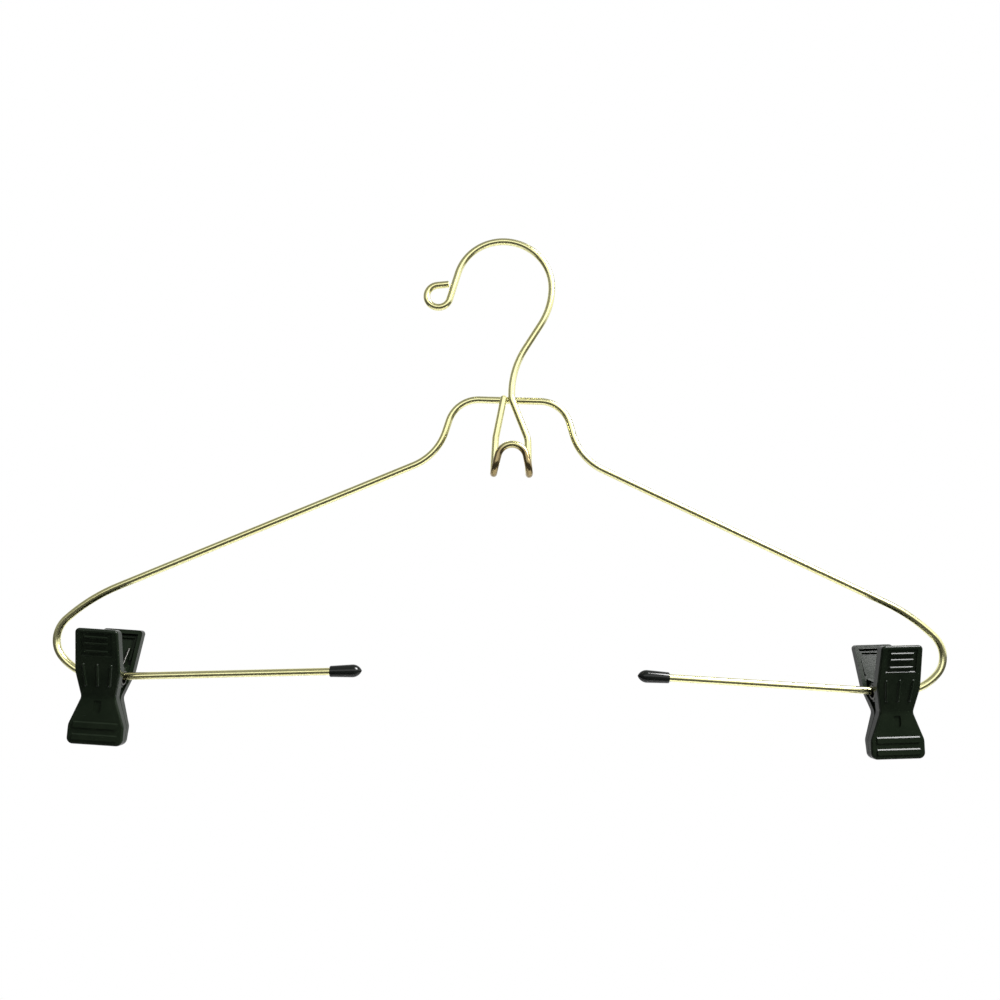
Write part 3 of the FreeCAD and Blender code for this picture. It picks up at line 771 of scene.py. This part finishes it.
class HANGER_OT_finish_clips(bpy.types.Operator):
    """Finish the moulded clip halves"""
    bl_idname = "hanger.finish_clips"
    bl_label = "Finish clips"

    def execute(self, context):
        plastic = shared_material("moulded_plastic", clip_material, context.scene.hanger_finish)
        for word in SIDES:
            for place in ("front", "rear"):
                node = frame["nodes"][word + "_" + place + "_jaw"]
                name = word + "_" + place + "_half"
                mesh = node.data.copy()
                mesh.name = name
                # The copied corner normals no longer fit once the corners are welded
                mesh.attributes.remove(mesh.attributes["custom_normal"])
                piece = add_piece(name, close_and_smooth(mesh), plastic)
                shading = piece.modifiers.new("flat faces", "WEIGHTED_NORMAL")
                shading.keep_sharp = True
                shading.weight = FLAT_FACE_WEIGHT
                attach(piece, word + "_" + place)
                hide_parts(node.name)
        return {"FINISHED"}


class HANGER_OT_fit_tubes(bpy.types.Operator):
    """Fit the flanged pivot tubes on the bars"""
    bl_idname = "hanger.fit_tubes"
    bl_label = "Fit tubes"

    def execute(self, context):
        wire = context.scene.hanger_wire
        fit = context.scene.hanger_fittings
        finish = context.scene.hanger_finish
        steel = shared_material("blackened_tube", steel_material, finish.steel, TUBE_ROUGHNESS)
        places, radii = self.profile(*tube_radii(wire, fit), fit)
        for word in SIDES:
            origin, along = pivot(word)
            mesh = turned_mesh(word + "_flanged_tube", origin, along, places, radii)
            piece = add_piece(word + "_flanged_tube", mesh, steel)
            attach(piece, word + "_tube")
            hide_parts(word + "_pivot_tube")
        return {"FINISHED"}

    @staticmethod
    def profile(bore, outside, fit):
        """Closed ring section: flange, tube, flange and back through the bore, with rolled rims."""
        roll = fit.flange / 2
        turn = np.linspace(-math.pi / 2, math.pi / 2, RIM_STEPS)
        rim_places = roll * np.sin(turn)
        rim_radii = fit.flange_radius - roll + roll * np.cos(turn)
        half = fit.tube_half
        inner = half - fit.flange
        places = np.concatenate([[-half], -half + roll + rim_places, [-inner, inner],
                                 half - roll + rim_places, [half, -half, -half]])
        radii = np.concatenate([[bore], rim_radii, [outside, outside], rim_radii, [bore, bore, bore]])
        return places, radii


class HANGER_OT_wind_springs(bpy.types.Operator):
    """Wind the torsion springs round the tubes"""
    bl_idname = "hanger.wind_springs"
    bl_label = "Wind springs"

    def execute(self, context):
        wire = context.scene.hanger_wire
        fit = context.scene.hanger_fittings
        finish = context.scene.hanger_finish
        steel = shared_material("drawn_spring", steel_material, finish.spring, SPRING_ROUGHNESS)
        outside = tube_radii(wire, fit)[1]
        points, headings, half = self.helix(fit, outside + fit.spring_gap + fit.spring_wire / 2)
        for word in SIDES:
            origin, along = pivot(word)
            axes = np.stack([along, Y, np.cross(along, Y)])
            mesh = wire_mesh(word + "_wound_spring", origin + points @ axes, headings @ axes,
                             fit.spring_wire, fit.spring_bevel, SPRING_SIDES, along)
            piece = add_piece(word + "_wound_spring", mesh, steel)
            tuple(origin - along * half)
            tuple(origin + along * half)
            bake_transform(piece)
            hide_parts(word + "_spring")
        return {"FINISHED"}

    @staticmethod
    def helix(fit, radius):
        """Helix (p a / 2 pi, r cos a, r sin a) with a straight leg at both ends, in the clip's axes."""
        first = math.pi + fit.spring_lean
        last = 2 * math.pi - fit.spring_lean + 2 * math.pi * fit.spring_turns
        rise = fit.spring_pitch / (2 * math.pi)
        a = np.linspace(first, last, COIL_STEPS * (fit.spring_turns + 1))
        advance = (a - (first + last) / 2) * rise
        coil = np.stack([advance, radius * np.cos(a), radius * np.sin(a)], axis=1)
        headings = np.stack([np.full_like(a, rise), -radius * np.sin(a), radius * np.cos(a)], axis=1)
        headings /= np.linalg.norm(headings, axis=1)[:, None]
        steps = np.linspace(1.0, 0.0, LEG_STEPS, endpoint=False)[:, None] * fit.spring_leg
        last_leg = (coil[-1] + steps * headings[-1])[::-1]
        points = np.vstack([coil[0] - steps * headings[0], coil, last_leg])
        legs = np.ones((len(steps), 1))
        headings = np.vstack([legs * headings[0], headings, legs * headings[-1]])
        return points, headings, (last - first) / 2 * rise


class HANGER_OT_set_stage(bpy.types.Operator):
    """Set the camera, the light, the floor and the backdrop"""
    bl_idname = "hanger.set_stage"
    bl_label = "Set stage"

    def execute(self, context):
        stage = context.scene.hanger_stage
        context.scene.view_settings.view_transform = "Standard"
        self.camera(context.scene, stage)
        self.room(context.scene, stage)
        left, right = STAGE_WIDTH
        low = stage.floor_height
        floor = self.sheet("floor", self.floor_paper(stage), (
            (left, FLOOR_FRONT, low),
            (right, FLOOR_FRONT, low),
            (right, BACKDROP_PLACE, low),
            (left, BACKDROP_PLACE, low),
        ))
        back = self.sheet("backdrop", self.white_paper(stage), (
            (right, BACKDROP_PLACE, low),
            (left, BACKDROP_PLACE, low),
            (left, BACKDROP_PLACE, BACKDROP_TOP),
            (right, BACKDROP_PLACE, BACKDROP_TOP),
        ))
        for name, box in SOFTBOXES.items():
            self.softbox(name, **box)
        return {"FINISHED"}

    @staticmethod
    def camera(scene, stage):
        """Camera that sees the hanger turned by roll, pitch and yaw: it takes the opposite turn."""
        turn = (Matrix.Rotation(stage.roll, 3, "Y") @ Matrix.Rotation(stage.pitch, 3, "X")
                @ Matrix.Rotation(stage.yaw, 3, "Z")).transposed()
        aim = Matrix.Translation((stage.aim_x, frame_middle(scene.hanger_wire)[1], stage.aim_z))
        facing = Matrix.Rotation(math.pi / 2, 4, "X")
        back = Matrix.Translation((0.0, -stage.distance, 0.0))
        lens = bpy.data.cameras.new("photo_camera")
        lens.lens = stage.focal
        lens.sensor_width = SENSOR_WIDTH
        lens.clip_start = CLIP_START
        camera = bpy.data.objects.new("photo_camera", lens)
        camera.matrix_world = aim @ turn.to_4x4() @ back @ facing
        scene.collection.objects.link(camera)
        scene.camera = camera

    @staticmethod
    def room(scene, stage):
        """Grey room: lighter above the horizon than below it."""
        world = bpy.data.worlds.new("grey_room")
        world.use_nodes = True
        scene.world = world
        paint = Paint(world.node_tree)
        toward = paint.node("ShaderNodeTexCoord", None, None, "Generated")
        above = paint.ramp(paint.axis(toward, "Z"), *HORIZON)
        level = stage.ground + above * (stage.room - stage.ground)
        light = paint.node("ShaderNodeBackground", None, {"Color": WHITE, "Strength": level})
        paint.node("ShaderNodeOutputWorld", None, {"Surface": light})

    @staticmethod
    def matt_paper(paint, stage):
        """Pale diffuse paper with a faint grain."""
        grain = paint.noise(paint.object_place(), scale=300.0)
        tone = paint.mix(grain * 0.06, rgba(stage.backdrop), PAPER_GRAIN)
        return paint.node("ShaderNodeBsdfDiffuse", None, {"Color": tone})

    def floor_paper(self, stage):
        """Paper of the floor, which keeps the shadow."""
        material, paint = new_material("floor_paper")
        matt = self.matt_paper(paint, stage)
        paint.node("ShaderNodeOutputMaterial", None, {"Surface": matt})
        return material

    def white_paper(self, stage):
        """Paper of the backdrop: plain white to the eye and in reflections, and lit as pale paper."""
        material, paint = new_material("white_paper")
        rays = [paint.node("ShaderNodeLightPath", None, None, name)
                for name in ("Is Camera Ray", "Is Glossy Ray", "Is Transmission Ray")]
        seen = rays[0] + rays[1] + rays[2]
        matt = self.matt_paper(paint, stage)
        white = paint.node("ShaderNodeEmission", None, {"Color": WHITE, "Strength": 1.0})
        both = paint.node("ShaderNodeMixShader", None, {0: seen, 1: matt, 2: white})
        paint.node("ShaderNodeOutputMaterial", None, {"Surface": both})
        return material

    @staticmethod
    def sheet(name, material, corners):
        """Flat sheet between four corners."""
        mesh = bpy.data.meshes.new(name)
        mesh.from_pydata(corners, [], [(0, 1, 2, 3)])
        return add_piece(name, mesh, material)

    @staticmethod
    def softbox(name, place, size, power):
        """Rectangular soft light that faces the middle of the hanger and stays out of the picture."""
        lamp = bpy.data.lights.new(name, "AREA")
        lamp.shape = "RECTANGLE"
        lamp.size, lamp.size_y = size
        lamp.energy = power
        box = bpy.data.objects.new(name, lamp)
        centre = (np.array(cad_box[0]) + np.array(cad_box[1])) / 2
        toward = centre - np.array(place)
        forward = toward / np.linalg.norm(toward)
        right = np.cross(forward, Z)
        right /= np.linalg.norm(right)
        above = np.cross(right, forward)
        box.matrix_world = Matrix(np.column_stack([right, above, -forward]).tolist()).to_4x4()
        box.matrix_world.translation = place
        box.visible_camera = False
        bpy.context.scene.collection.objects.link(box)


class HANGER_PT_panel(bpy.types.Panel):
    """Sidebar panel with the hanger's pieces and sizes"""
    bl_idname = "HANGER_PT_panel"
    bl_label = "Skirt hanger"
    bl_space_type = "VIEW_3D"
    bl_region_type = "UI"
    bl_category = "Hanger"

    def draw(self, context):
        for operator in OPERATORS:
            self.layout.operator(operator.bl_idname)
        for group in GROUPS:
            values = getattr(context.scene, group)
            column = self.layout.column(align=True)
            for key in values.__annotations__:
                column.prop(values, key)


GROUPS = {
    "hanger_wire": HangerWire,
    "hanger_fittings": HangerFittings,
    "hanger_finish": HangerFinish,
    "hanger_stage": HangerStage,
}
OPERATORS = (
    HANGER_OT_bend_wires,
    HANGER_OT_finish_welds,
    HANGER_OT_cap_bars,
    HANGER_OT_finish_clips,
    HANGER_OT_fit_tubes,
    HANGER_OT_wind_springs,
    HANGER_OT_set_stage,
)
CLASSES = tuple(GROUPS.values()) + OPERATORS + (HANGER_PT_panel,)


def register():
    for cls in CLASSES:
        bpy.utils.register_class(cls)
    for name, group in GROUPS.items():
        setattr(bpy.types.Scene, name, PointerProperty(type=group))


def unregister():
    for name in GROUPS:
        delattr(bpy.types.Scene, name)
    for cls in reversed(CLASSES):
        bpy.utils.unregister_class(cls)


def main():
    """Make every piece in order."""
    register()
    bpy.ops.hanger.bend_wires()
    bpy.ops.hanger.finish_welds()
    bpy.ops.hanger.cap_bars()
    bpy.ops.hanger.finish_clips()
    bpy.ops.hanger.fit_tubes()
    bpy.ops.hanger.wind_springs()
    bpy.ops.hanger.set_stage()


if __name__ == "__main__":
    main()
